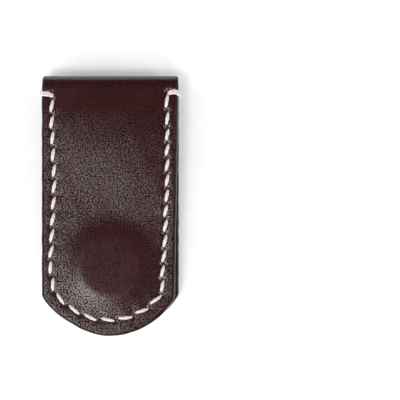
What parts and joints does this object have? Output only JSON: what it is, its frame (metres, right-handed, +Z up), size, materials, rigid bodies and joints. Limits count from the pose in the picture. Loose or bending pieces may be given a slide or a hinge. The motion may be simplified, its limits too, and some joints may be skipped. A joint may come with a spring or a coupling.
{
  "type": "money clip",
  "caption": "Folded leather money clip with rounded tips, a hand-sewn seam round each leaf, and disc magnets in the leaves that hold it shut.",
  "frame": {"origin": "centre of the closed clip's outline, at the surface that its back rests on", "axes": "+X across the clip, +Y along its length towards the fold, +Z up through its thickness from the back leaf to the front leaf"},
  "size_m": [0.0376, 0.069, 0.0091],
  "materials": {
    "outer_leather": "fine-grained oxblood leather, waxed to a soft sheen",
    "lining_leather": "smoother oxblood lining leather, satin",
    "magnet": "nickel-plated, satin",
    "seam_thread": "waxed cream polyester thread, two-ply",
    "edge_coat": "black edge paint, rounded and glossy"
  },
  "bodies": {
    "back_leaf": {"back_outer_leather": "outer_leather", "back_lining": "lining_leather", "back_magnet": "magnet", "back_seam_thread": "seam_thread", "back_edge_coat": "edge_coat"},
    "fold": {"fold_outer_leather": "outer_leather", "fold_edge_coat": "edge_coat"},
    "front_leaf": {"front_outer_leather": "outer_leather", "front_lining": "lining_leather", "front_magnet": "magnet", "front_seam_thread": "seam_thread", "front_edge_coat": "edge_coat"}
  },
  "joints": [
    {"name": "back_fold_bend", "type": "hinge", "parent": "back_leaf", "child": "fold", "pos_m": [0, 0.03347, 0.00208], "axis": [-1, 0, 0], "range_deg": [0, 60], "stiffness_Nm_per_rad": 0.01},
    {"name": "front_fold_bend", "type": "hinge", "parent": "fold", "child": "front_leaf", "pos_m": [0, 0.03347, 0.00702], "axis": [-1, 0, 0], "range_deg": [0, 60], "stiffness_Nm_per_rad": 0.01}
  ],
  "couplings": [
    {"joint": "front_fold_bend", "follows": "back_fold_bend", "ratio": 1}
  ]
}
